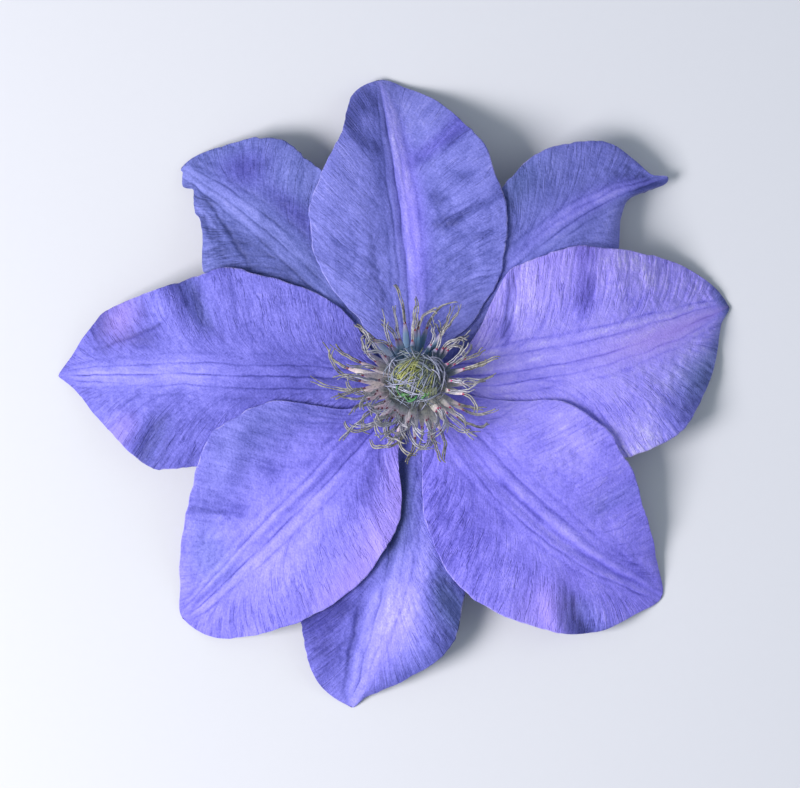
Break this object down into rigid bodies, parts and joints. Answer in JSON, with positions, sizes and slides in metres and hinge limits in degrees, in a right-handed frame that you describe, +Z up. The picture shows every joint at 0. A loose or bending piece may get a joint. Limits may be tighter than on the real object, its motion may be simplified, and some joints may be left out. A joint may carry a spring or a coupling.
{
  "type": "clematis flower",
  "caption": "Open violet-blue clematis bloom as picked, lying face up: broad pointed sepals in overlapping layers round a brush of curled stamens and a silky pistil.",
  "frame": {"origin": "on the surface that the flower lies on, under the middle of its footprint", "axes": "+Z up, along the flower's face towards the viewer of its open side; +X across its longest extent, towards the east sepal; +Y towards the north sepal"},
  "size_m": [0.1602, 0.1498, 0.03],
  "materials": {
    "sepal_violet": "satin",
    "stub_green": "satin",
    "pistil_silk": "satin",
    "stamen_cream": "satin"
  },
  "bodies": {
    "root": {"sepal_northeast": "sepal_violet", "sepal_northwest": "sepal_violet", "sepal_south": "sepal_violet", "sepal_north": "sepal_violet", "sepal_west": "sepal_violet", "sepal_east": "sepal_violet", "sepal_southwest": "sepal_violet", "sepal_southeast": "sepal_violet", "receptacle": "stub_green", "pistil": "pistil_silk", "stamen_01": "stamen_cream", "stamen_02": "stamen_cream", "stamen_03": "stamen_cream", "stamen_04": "stamen_cream", "stamen_05": "stamen_cream", "stamen_06": "stamen_cream", "stamen_07": "stamen_cream", "stamen_08": "stamen_cream", "stamen_09": "stamen_cream", "stamen_10": "stamen_cream", "stamen_11": "stamen_cream", "stamen_12": "stamen_cream", "stamen_13": "stamen_cream", "stamen_14": "stamen_cream", "stamen_15": "stamen_cream", "stamen_16": "stamen_cream", "stamen_17": "stamen_cream", "stamen_18": "stamen_cream", "stamen_19": "stamen_cream", "stamen_20": "stamen_cream", "stamen_21": "stamen_cream", "stamen_22": "stamen_cream", "stamen_23": "stamen_cream", "stamen_24": "stamen_cream", "stamen_25": "stamen_cream", "stamen_26": "stamen_cream", "stamen_27": "stamen_cream", "stamen_28": "stamen_cream", "stamen_29": "stamen_cream", "stamen_30": "stamen_cream", "stamen_31": "stamen_cream", "stamen_32": "stamen_cream", "stamen_33": "stamen_cream", "stamen_34": "stamen_cream", "stamen_35": "stamen_cream", "stamen_36": "stamen_cream", "stamen_37": "stamen_cream", "stamen_38": "stamen_cream", "stamen_39": "stamen_cream", "stamen_40": "stamen_cream", "stamen_41": "stamen_cream", "stamen_42": "stamen_cream", "stamen_43": "stamen_cream", "stamen_44": "stamen_cream"}
  },
  "joints": []
}
